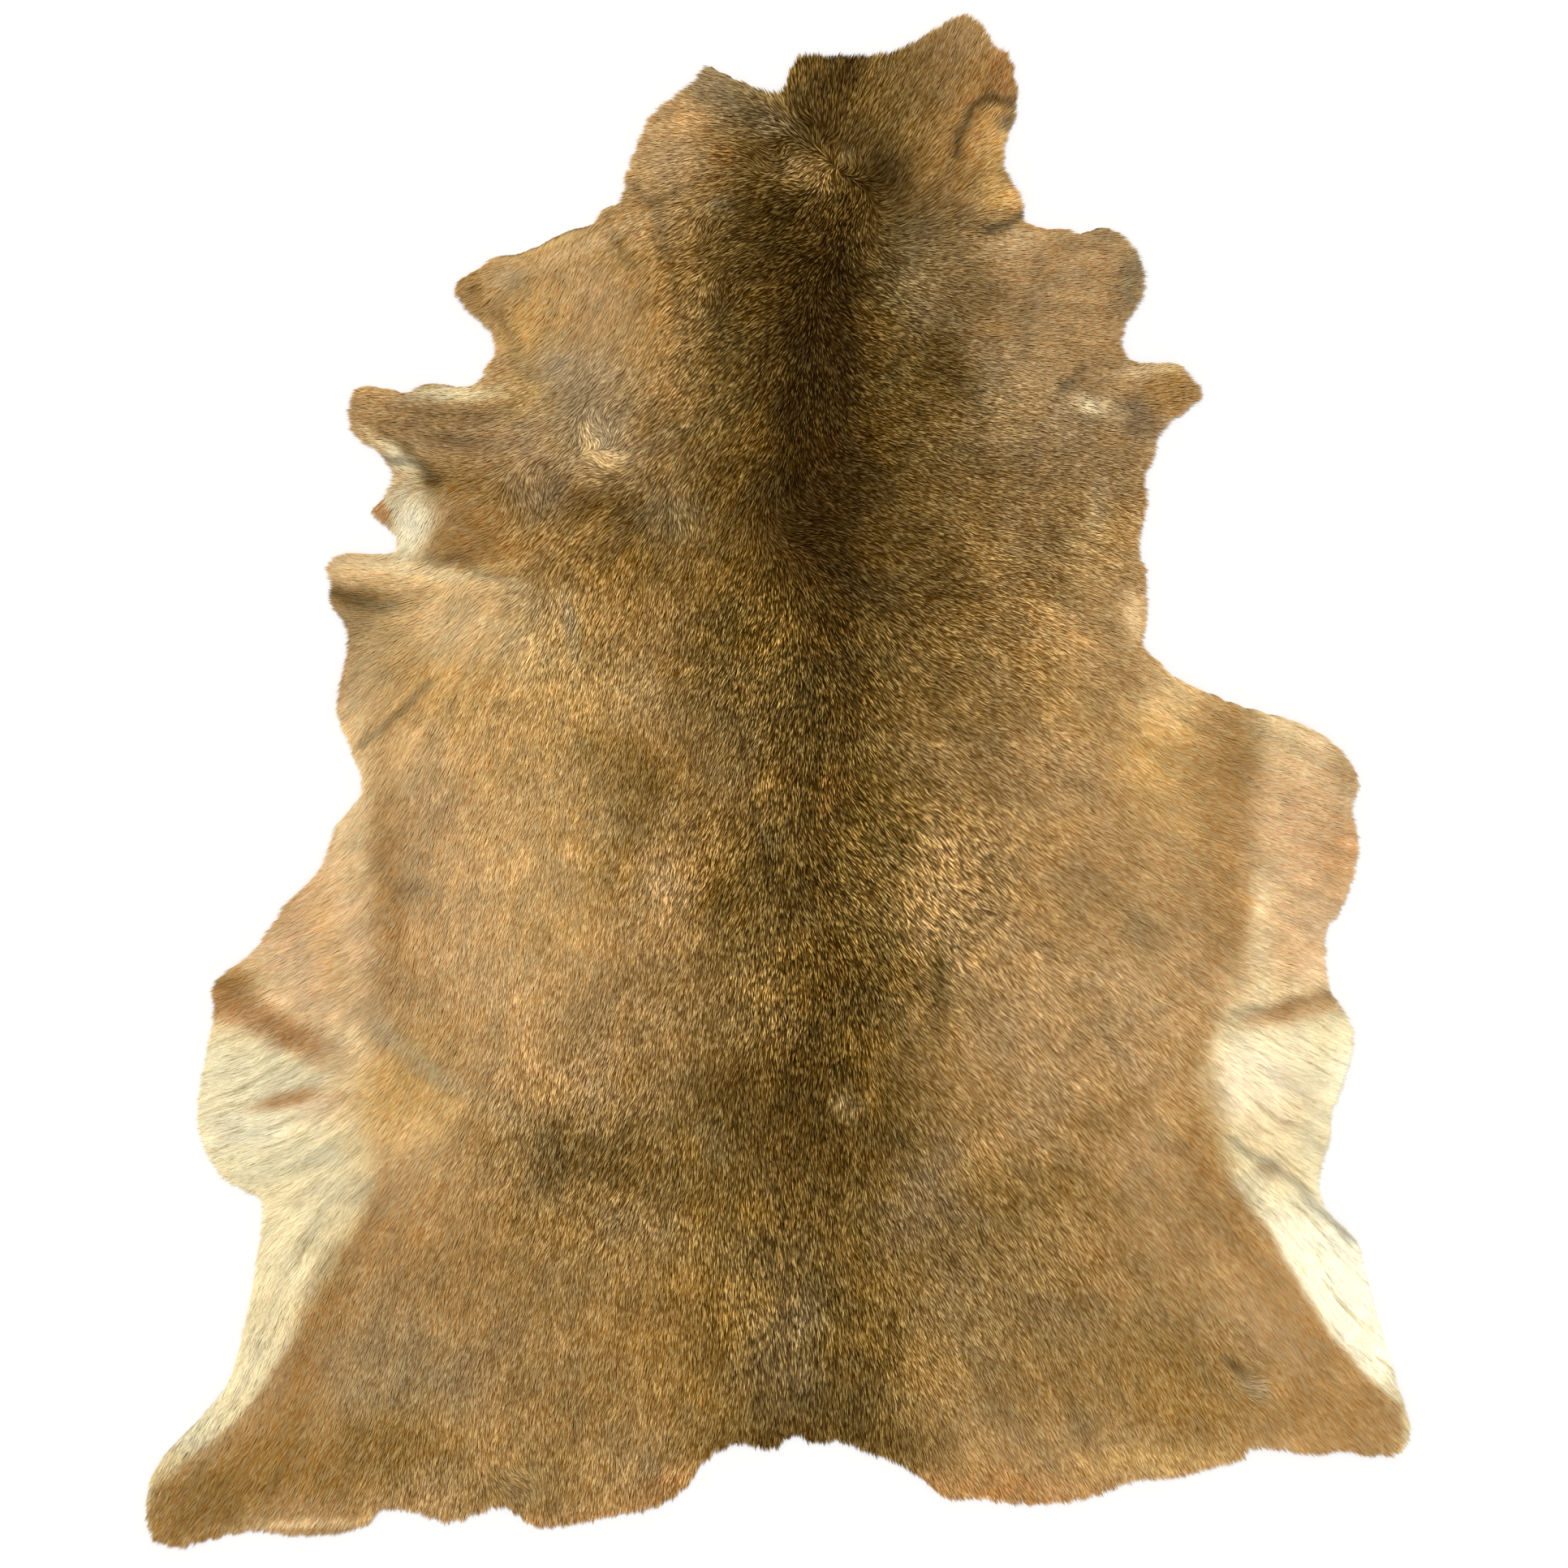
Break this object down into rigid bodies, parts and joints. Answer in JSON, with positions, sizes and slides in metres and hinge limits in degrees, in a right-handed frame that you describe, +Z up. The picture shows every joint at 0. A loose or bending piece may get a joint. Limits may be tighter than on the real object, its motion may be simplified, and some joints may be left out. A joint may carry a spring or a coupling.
{
  "type": "deerhide rug",
  "caption": "One tanned deer skin with its hair left on, trimmed to the animal's outline and laid flat as a floor rug or a throw.",
  "frame": {"origin": "On the floor, under the middle of the hide's bounding box.", "axes": "+X to the right of someone who stands at the tail, +Y to the neck, +Z up out of the hair side."},
  "size_m": [1.0386, 1.26, 0.0168],
  "materials": {
    "hair": "tan deer hair with a dark line down the back and cream belly and legs, on a tanned skin"
  },
  "bodies": {
    "root": {"hide": "hair"}
  },
  "joints": []
}
